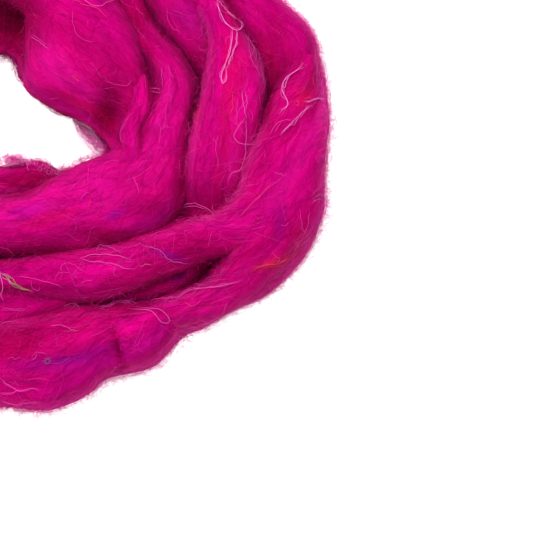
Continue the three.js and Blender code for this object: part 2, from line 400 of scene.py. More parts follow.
def read_off(table, i, j, s, t):
    """Values between the entries of a table that runs along the roving and closes round it."""
    nxt = (j + 1) % table.shape[1]
    near = table[i, j] * (1 - t) + table[i, nxt] * t
    far = table[i + 1, j] * (1 - t) + table[i + 1, nxt] * t
    return near * (1 - s) + far * s


def soft_noise(along, around, long, strips, seed):
    """Random values from -1 to 1 that change slowly along the roving and quickly round it."""
    knots = np.random.default_rng(seed).uniform(-1, 1, (400, strips))
    u = along / long + 2
    v = np.mod(around, 1) * strips
    i, j = np.floor(u).astype(int), np.floor(v).astype(int)
    s, t = u - i, v - j
    s, t = s * s * (3 - 2 * s), t * t * (3 - 2 * t)
    return read_off(knots, i % 399, j % strips, s, t)


def even_corner(around):
    """The angle of the section's corner that lies this share of the way round it, from its underside."""
    angle = np.linspace(0, 2 * math.pi, 721)
    c, s = np.cos(angle), np.sin(angle)
    power = 2 / SQUARENESS
    ring = np.stack([np.sign(c) * np.abs(c) ** power, np.sign(s) * np.abs(s) ** power], 1)
    way = run_along(ring)
    return np.interp(np.mod(around - 0.25, 1), way / way[-1], angle)


def off_middle(x, y, middle_x, middle_y, long, wide, turned):
    """How far places are from the middle of a turned oval, squared, with 1 at its edge."""
    turn = math.radians(turned)
    p = ((x - middle_x) * math.cos(turn) + (y - middle_y) * math.sin(turn)) / long
    q = ((y - middle_y) * math.cos(turn) - (x - middle_x) * math.sin(turn)) / wide
    return p * p + q * q


def surface(strand, along, around, lift=0.0):
    """Points on a laid length, that far along it and that share of the way round it, and what lies out."""
    at = {}
    for name in ["x", "y", "z", "out_x", "out_y", "wide", "high", "drift"]:
        at[name] = np.interp(along, strand["along"], strand[name])
    corner = even_corner(around)
    c, s = np.cos(corner), np.sin(corner)
    power = 2 / SQUARENESS
    stand = np.zeros_like(at["x"])
    for seed, (long, strips, depth) in enumerate(RIDGES):
        stand = stand + depth * soft_noise(along, around - at["drift"], long, strips, seed + 11)
    end = np.minimum(along, strand["along"][-1] - along) / END_TAPER
    end = np.sqrt(np.clip(end * (2 - end), 0.002, 1) * (end < 1) + (end >= 1))
    u = np.sign(c) * np.abs(c) ** power * at["wide"] * end
    v = np.sign(s) * np.abs(s) ** power * at["high"] * end
    nu = np.sign(c) * np.abs(c) ** (2 - power) / at["wide"]
    nv = np.sign(s) * np.abs(s) ** (2 - power) / at["high"]
    size = np.sqrt(nu * nu + nv * nv)
    nu, nv = nu / size, nv / size
    u = u + nu * (stand + lift)
    v = v + nv * (stand + lift)
    x = at["x"] + at["out_x"] * u
    y = at["y"] + at["out_y"] * u
    z = at["z"] + v
    for *place, deep in HOLLOWS:
        z = z - deep * np.exp(-off_middle(x, y, *place)) * np.clip(nv, 0, 1)
    z = np.maximum(z, 0.02 + np.maximum(lift, 0) * 0.2)
    out = np.stack([at["out_x"] * nu, at["out_y"] * nu, nv], -1)
    return np.stack([x, y, z], -1), out


def colour_mesh(mesh, dye_and_painted_light):
    """Puts a colour for each corner on a mesh."""
    colours = np.column_stack([dye_and_painted_light, np.ones(len(dye_and_painted_light))]).astype(np.float32)
    mesh.color_attributes["dye_and_painted_light"].data.foreach_set("color", colours.ravel())


def mesh_piece(name, corners, faces, dye_and_painted_light, material):
    """An object of one mesh, from arrays of corners in millimetres, faces and a colour for each corner."""
    mesh = bpy.data.meshes.new(name)
    mesh.vertices.add(len(corners))
    mesh.vertices.foreach_set("co", (corners * MM).astype(np.float32).ravel())
    mesh.loops.add(faces.size)
    mesh.loops.foreach_set("vertex_index", faces.astype(np.int32).ravel())
    mesh.polygons.add(len(faces))
    mesh.polygons.foreach_set("loop_start", np.arange(0, faces.size, faces.shape[1], dtype=np.int32))
    mesh.polygons.foreach_set("use_smooth", np.ones(len(faces), bool))
    mesh.update()
    mesh.color_attributes.new("dye_and_painted_light", "FLOAT_COLOR", "POINT")
    colour_mesh(mesh, dye_and_painted_light)
    mesh.materials.append(material)
    return add_object(name, mesh)


# The dye of the silk, as it lies on the fibres, with two colours of painted shade. It runs from one batch
# into the next in streaks along them, each given by how far it runs, how many lie round the roving, where
# it sets in, and its seed.
STREAK_SHARE = 0.7
STREAK_FADE = 0.5
DYES_AND_PAINTED_SHADES = {
    "magenta": (0.58, 0.0, 0.18),
    "deep": (0.47, 0.0, 0.11),
    "rose": (0.64, 0.003, 0.23),
    "purple": (0.34, 0.002, 0.26),
    "violet": (0.15, 0.004, 0.26),
    "red": (0.60, 0.002, 0.05),
    "ember": (0.70, 0.02, 0.04),
    # The last two are no dye but painted shade, for silk that lies in shadow.
    "painted_shade": (0.30, 0.0, 0.035),
    "painted_black_shade": (0.09, 0.0, 0.02),
}
DYE_STREAKS = [
    ["deep", 70, 9, 0.05, 31],
    ["rose", 60, 12, 0.2, 32],
    ["purple", 45, 9, 0.62, 33],
    ["red", 50, 8, 0.64, 34],
]

# Batches of another dye that lie in one place, and patches of painted shade where the silk lies in shadow:
# their middle, half length and half width in the photograph's pixels, the degrees by which they are turned
# there from level, and how much of the silk takes that colour.
PATCHES = [
    ["purple", 55, 364, 56, 9, 3, 0.42],
    ["violet", 66, 360, 30, 3, 6, 0.5],
    ["purple", 98, 350, 24, 6, 14, 0.5],
    ["painted_shade", 118, 352, 24, 3.5, -76, 0.55],
    ["violet", 115, 215, 9, 4, 30, 0.7],
    ["violet", 170, 256, 19, 4, -20, 0.55],
    ["violet", 178, 278, 9, 4, 10, 0.7],
    ["purple", 190, 15, 24, 15, -45, 0.35],
    ["purple", 280, 222, 19, 6, 80, 0.5],
    ["painted_shade", 101, 236, 15, 6, 8, 0.6],
    ["painted_shade", 105, 120, 26, 14, 80, 0.75],
    ["ember", 277, 262, 24, 5, 16, 0.5],
    ["red", 300, 248, 15, 9, 60, 0.65],
    ["red", 304, 97, 13, 9, 60, 0.6],
    ["ember", 197, 115, 12, 2.5, 88, 0.7],
    ["painted_shade", 10, 25, 40, 24, 80, 0.8],
    ["painted_shade", 20, 60, 15, 6, 65, 0.6],
    ["painted_shade", 268, 106, 26, 6, 86, 0.6],
    ["painted_shade", 273, 72, 18, 13, -60, 0.4],
    ["painted_shade", 28, 180, 36, 10, 8, 0.8],
    ["painted_shade", 18, 342, 34, 17, 15, 0.55],
    ["painted_shade", 120, 236, 48, 8, -8, 0.38],
    ["painted_shade", 142, 190, 36, 20, -42, 0.34],
    ["painted_shade", 190, 236, 30, 9, -16, 0.25],
    ["painted_shade", 162, 168, 14, 20, 0, 0.24],
    ["painted_shade", 143, 12, 12, 24, -30, 0.4],
    ["painted_shade", 60, 224, 60, 12, 4, 0.14],
    ["painted_shade", 276, 30, 28, 15, 75, 0.24],
]

# Lighter and darker clouds: how far each runs, how many lie round the roving, its strength and its seed.
CLOUDS = [
    [22, 16, 0.10, 43],
    [12, 26, 0.13, 41],
    [6, 52, 0.12, 42],
]


def within(points, across, down, long, wide, turned):
    """From 0 to 1, how far points lie within an oval that is given in the photograph's pixels."""
    x, y = on_picture(across, down)
    off = off_middle(points[..., 0], points[..., 1], x, y, long * PIXEL, wide * PIXEL, turned)
    return np.exp(-(off**1.5))


def mixed(colour, other, share):
    """A colour with that share of another one in it."""
    share = share[..., None]
    return colour * (1 - share) + np.array(other) * share


def dye_and_painted_shade(strand, along, around, points):
    """The colour of the silk at places on the roving, with painted shade that makes it darker and redder
    where they lie deep.
    """
    streak = around - np.interp(along, strand["along"], strand["drift"])
    colour = np.ones(along.shape + (3,)) * DYES_AND_PAINTED_SHADES["magenta"]
    for name, long, strips, start, seed in DYE_STREAKS:
        strength = soft_noise(along, streak, long, strips, seed) - start
        colour = mixed(colour, DYES_AND_PAINTED_SHADES[name], STREAK_SHARE * np.clip(strength / STREAK_FADE, 0, 1))
    for name, *place, most in PATCHES:
        colour = mixed(colour, DYES_AND_PAINTED_SHADES[name], most * within(points, *place))
    for long, strips, amount, seed in CLOUDS:
        colour = colour * (1 + amount * soft_noise(along, streak, long, strips, seed))[..., None]
    # Painted shade: the colour is darkened, and its blue more so, where little sky is seen.
    light = PAINTED_SHADE_DEEPEST + (1 - PAINTED_SHADE_DEEPEST) * openness(strand, along, around) ** PAINTED_SHADE_CURVE
    return colour * np.stack([light, light, light**PAINTED_SHADE_REDDENING], -1)


# The finish of the roving's body: fine light and dark bands along its fibres, and thin wavy lines that
# stand for single hairs, in a few directions. Each row gives the degrees that its lines are turned from the
# fibres, and how many changes they make in a metre, along themselves and across.
HAIR_LINES = [
    [0, 110, 820],
    [24, 130, 640],
    [-19, 150, 760],
    [64, 300, 520],
]
LIGHTER_HAIR = (1.45, 0.035, 0.60)
LINE_SHARPNESS = 30.0

streaks = bpy.data.node_groups.new("carded_streaks", "ShaderNodeTree")
for name, kind in [("Place", "Vector"), ("Dye", "Color"), ("Contrast", "Float"), ("Hairs", "Float")]:
    streaks.interface.new_socket(name, in_out="INPUT", socket_type="NodeSocket" + kind)
for name, kind in [("Colour", "Color"), ("Height", "Float")]:
    streaks.interface.new_socket(name, in_out="OUTPUT", socket_type="NodeSocket" + kind)
given = streaks.nodes.new("NodeGroupInput").outputs
made = streaks.nodes.new("NodeGroupOutput").inputs


def combined(operation, *values):
    """What a node in the group works out from other nodes' outputs or plain numbers."""
    return add_node(streaks, "Math", dict(enumerate(values)), operation=operation).outputs[0]


def noise_along(turned, along, across, detail, distortion):
    """Noise in the group that is stretched along lines turned that many degrees from the fibres."""
    place = {"Vector": given["Place"], "Angle": math.radians(turned)}
    turn = add_node(streaks, "VectorRotate", place, rotation_type="Z_AXIS")
    scaled = {0: turn.outputs[0], 1: (along, across, 1)}
    stretch = add_node(streaks, "VectorMath", scaled, operation="MULTIPLY")
    noise = {"Vector": stretch.outputs[0], "Scale": 1.0, "Detail": detail, "Distortion": distortion}
    return add_node(streaks, "TexNoise", noise).outputs["Fac"]


bands = noise_along(0, 28, 1100, 3.0, 0.0)
hair_lines = 0.0
for turned, along, across in HAIR_LINES:
    noise = noise_along(turned, along, across, 1.0, 0.5)
    off_line = combined("ABSOLUTE", combined("SUBTRACT", noise, 0.5))
    line = combined("MAXIMUM", combined("MULTIPLY_ADD", off_line, -LINE_SHARPNESS, 1.0), 0.0)
    hair_lines = combined("MAXIMUM", line, hair_lines)
brightness = combined("MULTIPLY", combined("SUBTRACT", bands, 0.5), 5.0)
brightness = combined("MULTIPLY_ADD", brightness, given["Contrast"], 1.0)
shade = add_node(streaks, "VectorMath", {0: given["Dye"], "Scale": brightness}, operation="SCALE")
red = add_node(streaks, "SeparateColor", {0: given["Dye"]}).outputs[0]
lighter = add_node(streaks, "VectorMath", {0: LIGHTER_HAIR, "Scale": red}, operation="SCALE")
hair_share = combined("MULTIPLY", hair_lines, given["Hairs"])
layers = {0: hair_share, 6: shade.outputs[0], 7: lighter.outputs[0]}
over = add_node(streaks, "Mix", layers, data_type="RGBA")
streaks.links.new(over.outputs[2], made["Colour"])
streaks.links.new(combined("MULTIPLY_ADD", hair_lines, 0.6, bands), made["Height"])


def silk_material(name, roughness, streaked):
    """Dyed silk, its colour on the mesh, with painted shade and painted rim light where the mesh has them.
    The body of the roving has fine streaks along its fibres too.
    """
    material = bpy.data.materials.new(name)
    material.use_nodes = True
    tree = material.node_tree
    shader = tree.nodes["Principled BSDF"]
    shader.inputs["Roughness"].default_value = roughness
    shader.inputs["Specular IOR Level"].default_value = 0.05
    shader.inputs["Specular Tint"].default_value = (1.0, 0.02, 0.4, 1)
    shader.inputs["Sheen Weight"].default_value = 0.5
    shader.inputs["Sheen Roughness"].default_value = 0.4
    shader.inputs["Sheen Tint"].default_value = (0.95, 0.03, 0.45, 1)
    # The colour on the mesh holds the painted shade and painted rim light as well as the dye.
    colour = add_node(tree, "VertexColor", {}, layer_name="dye_and_painted_light").outputs["Color"]
    if streaked:
        place = add_node(tree, "UVMap", {}, uv_map="fibres")
        carded = add_node(tree, "Group", {}, node_tree=streaks)
        carded.inputs["Contrast"].default_value = 0.06
        carded.inputs["Hairs"].default_value = 0.15
        tree.links.new(place.outputs[0], carded.inputs["Place"])
        tree.links.new(colour, carded.inputs["Dye"])
        relief = {"Strength": 0.5, "Distance": 0.0003, "Height": carded.outputs["Height"]}
        bump = add_node(tree, "Bump", relief)
        tree.links.new(bump.outputs[0], shader.inputs["Normal"])
        colour = carded.outputs["Colour"]
    tree.links.new(colour, shader.inputs["Base Color"])
    return material


silk_mass = silk_material("silk_mass", 0.75, True)

UV_ROWS = 6


def skin_places(strand):
    """Where the corners of a length's skin lie: how far along it, and what share of the way round it."""
    around = np.interp(np.arange(SIDES) / SIDES, [0, 0.12, 0.88, 1], [0, 0.2, 0.8, 1])
    along = np.repeat(strand["along"][:, None], SIDES, 1)
    return along, np.repeat(around[None], len(strand["along"]), 0)


def add_map(mesh, name, across, up):
    """A map of a mesh's faces, from where their corners lie across and up it."""
    layer = mesh.uv_layers.new(name=name)
    layer.uv.foreach_set("vector", np.stack([across, up], -1).astype(np.float32).ravel())


def roving_piece(name, strand):
    """The roving itself, as one closed skin over its sections."""
    along, around = skin_places(strand)
    points, _ = surface(strand, along, around)
    ring, side = np.meshgrid(np.arange(len(along) - 1), np.arange(SIDES), indexing="ij")
    nxt = (side + 1) % SIDES
    faces = [ring * SIDES + side, ring * SIDES + nxt, (ring + 1) * SIDES + nxt, (ring + 1) * SIDES + side]
    faces = np.stack(faces, -1).reshape(-1, 4)
    plain = np.ones((along.size, 3)) * DYES_AND_PAINTED_SHADES["magenta"]
    piece = mesh_piece(name, points.reshape(-1, 3), faces, plain, silk_mass)

    # One map runs along and round the roving for its streaks, and one lays it out in rows.
    a = strand["along"]
    corner_along = np.stack([a[ring], a[ring], a[ring + 1], a[ring + 1]], -1)
    start, end = around[0][side], np.append(around[0], 1.0)[side + 1]
    corner_around = np.stack([start, end, end, start], -1)
    girth = np.interp(corner_along, a, strand["girth"])
    drift = np.interp(corner_along, a, strand["drift"])
    add_map(piece.data, "fibres", corner_along * MM, (corner_around - drift) * girth.mean() * MM)
    row_length = a[-1] / UV_ROWS
    row = np.minimum(a[ring] // row_length, UV_ROWS - 1)[..., None]
    across = (corner_along - row * row_length) / (row_length + 2 * RING_STEP)
    add_map(piece.data, "OFBake", across, (row + 0.02 + 0.96 * corner_around) / UV_ROWS)
    return piece


roving = laid(SECTIONS)
roving_coil = roving_piece("roving", roving)
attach(roving_coil, "root")
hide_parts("roving_coil")


# Two locks that have parted from the roving. One stands up along the outer side of the broad turn at the
# eye's corner. The other is the half of the fold that runs on into the outer turn, not into the next one.
CORNER_LOCK = [
    [44, 46, 50, 43, 6, 14, 4],
    [46.5, 30, 53, 30, 5, 16, 4],
    [48.3, 16, 56.4, 16, 4, 25.6, 2],
    [46.5, 6, 57, 6, 4, 28.7, -6],
    [42.6, -4, 55.5, -4.6, 7, 29, -12],
    [44, -14, 54, -18, 8, 28, -8],
    [37, -26, 48, -34, 8, 26, 0],
]
FOLD_LOCK = [
    [104, -24, 127, -27, 16, 36, -24],
    [102, -40, 127, -42, 16, 41, -22],
    [96, -53, 120, -59, 12, 40, -16],
    [89.5, -63, 108, -73, 8, 38, -8],
    [83, -72, 95, -82, 6, 35.5, 0],
    [70, -79, 78, -89.5, 5, 33, 4],
    [52, -83.5, 57, -94, 5, 30, 6],
]
locks = []
for name, rows in [("corner_lock", CORNER_LOCK), ("fold_lock", FOLD_LOCK)]:
    lock = laid(rows)
    lock_piece = roving_piece(name, lock)
    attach(lock_piece, "root")
    locks.append((lock, lock_piece))


# How open the silk lies: the share of the sky seen from each place. Between the turns, where little of it
# is seen, the colour is darkened and reddened as painted shade. Round the outer rim the colour is paler,
# partly as teased-out lint and partly as painted light on the flank. The roving and its two locks are
# coloured by it here.
# The painted shade: how dark the most closed-in places become, how fast it deepens, and how much redder.
PAINTED_SHADE_DEEPEST = 0.48
PAINTED_SHADE_CURVE = 1.15
PAINTED_SHADE_REDDENING = 1.6
LOOKS = 14
LOOK_REACH = 50
LOOK_STEP = 5.6
LOOK_SIDES = 40
LOOK_FROM = 0.9
GOLDEN_ANGLE = 2.39996
SHOWN_FROM = 0.8
SHOWN_REACH = 90
# The paler colour of the outer flank, partly teased-out lint and partly painted light.
RIM_LINT_AND_LIGHT = (0.95, 0.045, 0.445)
RIM_LINT_AND_LIGHT_SHARE = 0.55

mass_corners, mass_faces = [], []
for piece in (roving_coil, locks[0][1], locks[1][1]):
    first = len(mass_corners)
    mass_corners += [v.co.copy() for v in piece.data.vertices]
    mass_faces += [[first + i for i in p.vertices] for p in piece.data.polygons]
mass = BVHTree.FromPolygons(mass_corners, mass_faces)


def unit(ways):
    """The directions, each of length 1."""
    return ways / np.maximum(np.linalg.norm(ways, axis=-1, keepdims=True), 1e-9)


def shown(points, out):
    """True for each point that is not inside a neighbouring part of the roving."""
    flat, ways = points.reshape(-1, 3) * MM, out.reshape(-1, 3)
    free = np.ones(len(flat), bool)
    for i, (p, way) in enumerate(zip(flat, ways)):
        start = Vector(p + way * (SHOWN_FROM * MM))
        found, normal, _, _ = mass.ray_cast(start, Vector(way), SHOWN_REACH * MM)
        free[i] = found is None or normal.dot(Vector(way)) < 0
    return free.reshape(points.shape[:-1])


def blurred(table):
    """A table on the roving with each entry mixed with its neighbours, round it and along it."""
    table = (np.roll(table, 1, 1) + 2 * table + np.roll(table, -1, 1)) / 4
    longer = np.concatenate([table[:1], table, table[-1:]])
    return (longer[:-2] + 2 * table + longer[2:]) / 4


def look_round(strand):
    """The share of the sky that is seen from places all over a length of roving, as a table on it."""
    rows = max(4, round(strand["along"][-1] / LOOK_STEP))
    along = np.linspace(0, strand["along"][-1], rows)
    along, around = np.meshgrid(along, np.arange(LOOK_SIDES) / LOOK_SIDES, indexing="ij")
    points, out = surface(strand, along, around)
    side = unit(np.cross(out, [0.27, 0.53, 0.80]))
    other = np.cross(out, side)
    seen = np.zeros(along.shape)
    known = shown(points, out).astype(float)
    starts = (points + out * LOOK_FROM).reshape(-1, 3) * MM
    for k in np.arange(LOOKS) + 0.5:
        turn = k * GOLDEN_ANGLE
        flat = side * math.cos(turn) + other * math.sin(turn)
        ways = (out * np.sqrt(1 - k / LOOKS) + flat * np.sqrt(k / LOOKS)).reshape(-1, 3)
        for i in np.flatnonzero(known):
            found, _, _, _ = mass.ray_cast(Vector(starts[i]), Vector(ways[i]), LOOK_REACH * MM)
            seen.flat[i] += found is None
    seen, weight = blurred(seen / LOOKS * known), blurred(known)
    sharp = seen / np.maximum(weight, 1e-6)
    for _ in range(2):
        seen, weight = blurred(seen), blurred(weight)
    filled = seen / np.maximum(weight, 1e-6)
    return np.where(known > 0, sharp, np.where(weight > 0.01, filled, 0.3))


def openness(strand, along, around):
    """The share of the sky that is seen from places on a length of roving."""
    table = strand["open"]
    u = np.clip(along / strand["along"][-1], 0, 1) * (len(table) - 1.001)
    v = np.mod(around, 1) * LOOK_SIDES
    i, j = np.floor(u).astype(int), np.floor(v).astype(int)
    return read_off(table, i, j % LOOK_SIDES, u - i, v - j)


def on_the_rim(strand, out, along, around):
    """How far each place is on the coil's outer flank, from 0 to 1, and less so on its flank at the eye."""
    open_here = np.clip((openness(strand, along, around) - 0.6) / 0.2, 0, 1)
    x = np.interp(along, strand["along"], strand["x"])
    y = np.interp(along, strand["along"], strand["y"])
    outer = 0.3 + 0.7 * np.clip((np.hypot(x, y) - 65) / 30, 0, 1)
    return np.clip(1.25 - 1.5 * np.abs(out[..., 2]), 0, 1) * open_here * outer


for strand, piece in [(roving, roving_coil)] + locks:
    strand["open"] = look_round(strand)
    along, around = skin_places(strand)
    points, out = surface(strand, along, around)
    dye_and_painted_light = dye_and_painted_shade(strand, along, around, points)
    # Paler on the outer flank, partly as teased-out lint and partly as painted light.
    dye_and_painted_light = mixed(dye_and_painted_light, RIM_LINT_AND_LIGHT, RIM_LINT_AND_LIGHT_SHARE * on_the_rim(strand, out, along, around))
    colour_mesh(piece.data, dye_and_painted_light.reshape(-1, 3))


# The carded fibres, which cover the roving all over. They lie along it, each a little off its neighbours
# and wavy, and their ends sink back into the mass. Ribbons stand for the flat bundles of filaments.
PALE = (0.88, 0.045, 0.44)
# The pale colour of the rim's fibres, partly lint and partly painted light on the flank.
EDGE_LINT_AND_LIGHT = (0.92, 0.15, 0.60)
silk_fibre = silk_material("silk_fibre", 0.7, False)

# Where the photograph shows more of the pale fibres: middle, half length and half width in its pixels, and
# the degrees by which they are turned there from level.
PALE_PLACES = [
    [80, 312, 75, 22, 4],
    [238, 135, 20, 45, 0],
    [303, 100, 22, 40, 0],
    [110, 262, 45, 14, -5],
    [270, 265, 45, 9, 22],
    [20, 385, 40, 16, -10],
    [190, 330, 70, 10, 24],
]


def laid_fibres(strand, count, lengths, lifts, stray, sway, stations, seed):
    """Fibres along a length of roving: their points, what lies out there, and how far along and round."""
    rng = np.random.default_rng(seed)
    t = np.linspace(0, 1, stations)
    end = strand["along"][-1]
    long = rng.uniform(*lengths, count)
    start = rng.uniform(2, end - 2, count) - long / 2
    along = np.clip(start[:, None] + long[:, None] * t, 1, end - 1)
    drift = np.interp(along, strand["along"], strand["drift"])
    girth = np.interp(along, strand["along"], strand["girth"])
    aside = np.tan(rng.normal(0, stray, count))[:, None] * (along - along[:, :1])
    for share, amount in [(0.5, 0.3), (1.6, 1.0)]:
        wave = 2 * math.pi / (share * long[:, None] * rng.uniform(0.6, 1.4, count)[:, None])
        swing = amount * sway * rng.normal(0, 1, count)[:, None]
        aside = aside + swing * np.sin(along * wave + rng.uniform(0, 6, count)[:, None])
    around = rng.uniform(0.04, 0.96, count)[:, None] + drift - drift[:, :1] + aside / girth
    arch = np.sin(math.pi * t) ** 0.4
    lift = rng.uniform(*lifts, count)[:, None] * arch - 0.25 * (1 - arch)
    points, out = surface(strand, along, around, lift)
    looked_at = slice(1, -1, max(1, stations // 3))
    seen = shown(points[:, looked_at], out[:, looked_at])
    keep = (seen.mean(1) > 0.4) & (points[..., 2].max(1) > 1.2)
    return points[keep], out[keep], along[keep], around[keep]


def fibre_dye_and_painted_light(strand, points, out, along, around, uneven, pale, seed):
    """Colours along fibres: the silk's own where they lie, with the painted shade there, each a little
    lighter or darker, some of another dye, and paler on the rim, partly as lint and partly as painted
    light.
    """
    rng = np.random.default_rng(seed)
    middle = points[:, points.shape[1] // 2]
    pale = pale * (1 + 1.3 * np.max([within(middle, *place) for place in PALE_PLACES], 0))
    colour = dye_and_painted_shade(strand, along, around, points)
    colour = colour * np.exp(rng.normal(0, uneven, len(colour)))[:, None, None]
    other = np.array([PALE, DYES_AND_PAINTED_SHADES["ember"], DYES_AND_PAINTED_SHADES["purple"]])[rng.choice(3, len(colour), p=[0.6, 0.2, 0.2])]
    share = ((rng.random(len(colour)) < pale) * rng.uniform(0.15, 0.65, len(colour)))[:, None, None]
    # The other dye takes on the painted shade of the silk where the fibre lies.
    light = (colour[..., :1] / DYES_AND_PAINTED_SHADES["magenta"][0]) ** 0.7
    colour = colour * (1 - share) + other[:, None] * light * share
    # Paler on the outer flank, partly as lint and partly as painted light.
    colour = mixed(colour, RIM_LINT_AND_LIGHT, RIM_LINT_AND_LIGHT_SHARE * on_the_rim(strand, out, along, around))
    return np.clip(colour, 0, 0.9)


def ribbons(points, out, widths, roll, seed, dye_and_painted_light):
    """The corners, faces and colours of flat tapered ribbons along rows of points, each turned a little."""
    count, stations = points.shape[:2]
    way = unit(np.gradient(points, axis=1))
    side = unit(np.cross(way, out))
    up = np.cross(side, way)
    turn = np.random.default_rng(seed).normal(0, roll, count)[:, None, None]
    side = side * np.cos(turn) + up * np.sin(turn)
    t = np.linspace(0, 1, stations)
    taper = (np.sin(math.pi * np.clip(t, 0.02, 0.98)) ** 0.5)[None, :, None]
    half = widths[:, None, None] / 2 * taper
    corners = np.stack([points - side * half, points + side * half], 2)
    k = np.arange(stations - 1)
    quad = np.stack([2 * k, 2 * k + 1, 2 * k + 3, 2 * k + 2], -1)
    faces = quad[None] + (np.arange(count) * 2 * stations)[:, None, None]
    if dye_and_painted_light.ndim == 2:
        dye_and_painted_light = np.repeat(dye_and_painted_light, stations, 0)
    return corners.reshape(-1, 3), faces.reshape(-1, 4), np.repeat(dye_and_painted_light.reshape(-1, 3), 2, 0)


def fibre_piece(name, parts):
    """One object of fibres, from a few lots of their corners, faces and colours."""
    corners, faces, lot_colours = zip(*parts)
    firsts = np.cumsum([0] + [len(lot) for lot in corners[:-1]])
    faces = np.concatenate([lot + first for lot, first in zip(faces, firsts)])
    return mesh_piece(name, np.concatenate(corners), faces, np.concatenate(lot_colours), silk_fibre)


CARDED = ["name", "each_mm", "stations", "shortest", "longest", "lowest", "highest", "stray", "sway",
          "thinnest", "widest", "roll", "uneven", "pale", "rim", "seed"]
CARDED_LAYERS = [
    ["fibres_in_the_mass", 2.8, 6, 10, 28, 0.0, 0.3, 0.18, 0.9, 0.25, 0.55, 0.08, 0.06, 0.0, 0, 101],
    ["fibres_over_it", 6.0, 7, 7, 22, 0.1, 0.6, 0.32, 1.1, 0.16, 0.30, 0.15, 0.15, 0.08, 0, 102],
    ["fine_fibres", 6.2, 7, 4, 15, 0.3, 1.2, 0.6, 1.3, 0.09, 0.16, 0.3, 0.27, 0.28, 0, 103],
    ["edge_fibres", 16.0, 6, 4, 15, 0.4, 1.9, 0.35, 1.3, 0.09, 0.18, 0.8, 0.15, 0.5, 1, 104],
    ["outermost_fibres", 8.0, 6, 4, 12, 1.6, 4.2, 0.45, 1.5, 0.06, 0.12, 0.8, 0.15, 0.5, 1, 105],
]
for row in CARDED_LAYERS:
    layer = dict(zip(CARDED, row))
    parts = []
    for n, (strand, _) in enumerate([(roving, roving_coil)] + locks):
        count = round(strand["along"][-1] * layer["each_mm"])
        lengths = (layer["shortest"], min(layer["longest"], strand["along"][-1] * 0.6))
        lifts = (layer["lowest"], layer["highest"])
        seed = layer["seed"] + 10 * n
        lie = (layer["stray"], layer["sway"], layer["stations"])
        run = laid_fibres(strand, count, lengths, lifts, *lie, seed)
        if layer["rim"]:
            _, out, along, around = run
            kept = on_the_rim(strand, out[:, 3], along[:, 3], around[:, 3]) > 0.2
            run = [values[kept] for values in run]
        points, out, along, around = run
        width = np.random.default_rng(seed + 50).uniform(layer["thinnest"], layer["widest"], len(points))
        colour = fibre_dye_and_painted_light(strand, *run, layer["uneven"], layer["pale"], seed + 70)
        if layer["rim"]:
            # On the rim these fibres are paler, partly as lint and partly as painted light on the flank.
            share = np.random.default_rng(seed + 80).uniform(0, 1.2, (len(points), 1))
            flank = on_the_rim(strand, out[:, 3:4], along[:, 3:4], around[:, 3:4])
            colour = mixed(colour, EDGE_LINT_AND_LIGHT, share * flank)
        parts.append(ribbons(points, out, width, layer["roll"], seed + 60, colour))
    piece = fibre_piece(layer["name"], parts)
    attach(piece, "root")


# Loose hairs, which spring from the roving all over. The short down softens its outline, and the longer
# hairs curl away from it.
# The pale colour of hairs on the rim, partly lint and partly painted light.
HAIR_LINT_AND_LIGHT = (0.87, 0.09, 0.54)
SKY = (0.1, 0.2, 1.0)
LOWEST_HAIR = 0.3
ROOT = 2


def springing(start, way, lengths, curl, stations, seed):
    """Rows of points of hairs that start at places, set off in directions and curl as they go."""
    rng = np.random.default_rng(seed)
    count = len(start)
    step = rng.uniform(*lengths, count)[:, None] / (stations - 1)
    bend = rng.normal(0, curl, (count, 3))
    path = [start]
    for _ in range(stations - 1):
        path.append(path[-1] + way * step)
        way = unit(way + np.cross(bend, way) * step + rng.normal(0, 0.12, (count, 3)))
    path = np.stack(path, 1)
    path[..., 2] = np.maximum(path[..., 2], LOWEST_HAIR)
    return path


def root_dye_and_painted_light(run, uneven, pale, seed):
    """The colour of each hair, which is that of the silk at its root."""
    return fibre_dye_and_painted_light(roving, *[values[:, ROOT:ROOT + 1] for values in run], uneven, pale, seed)[:, 0]


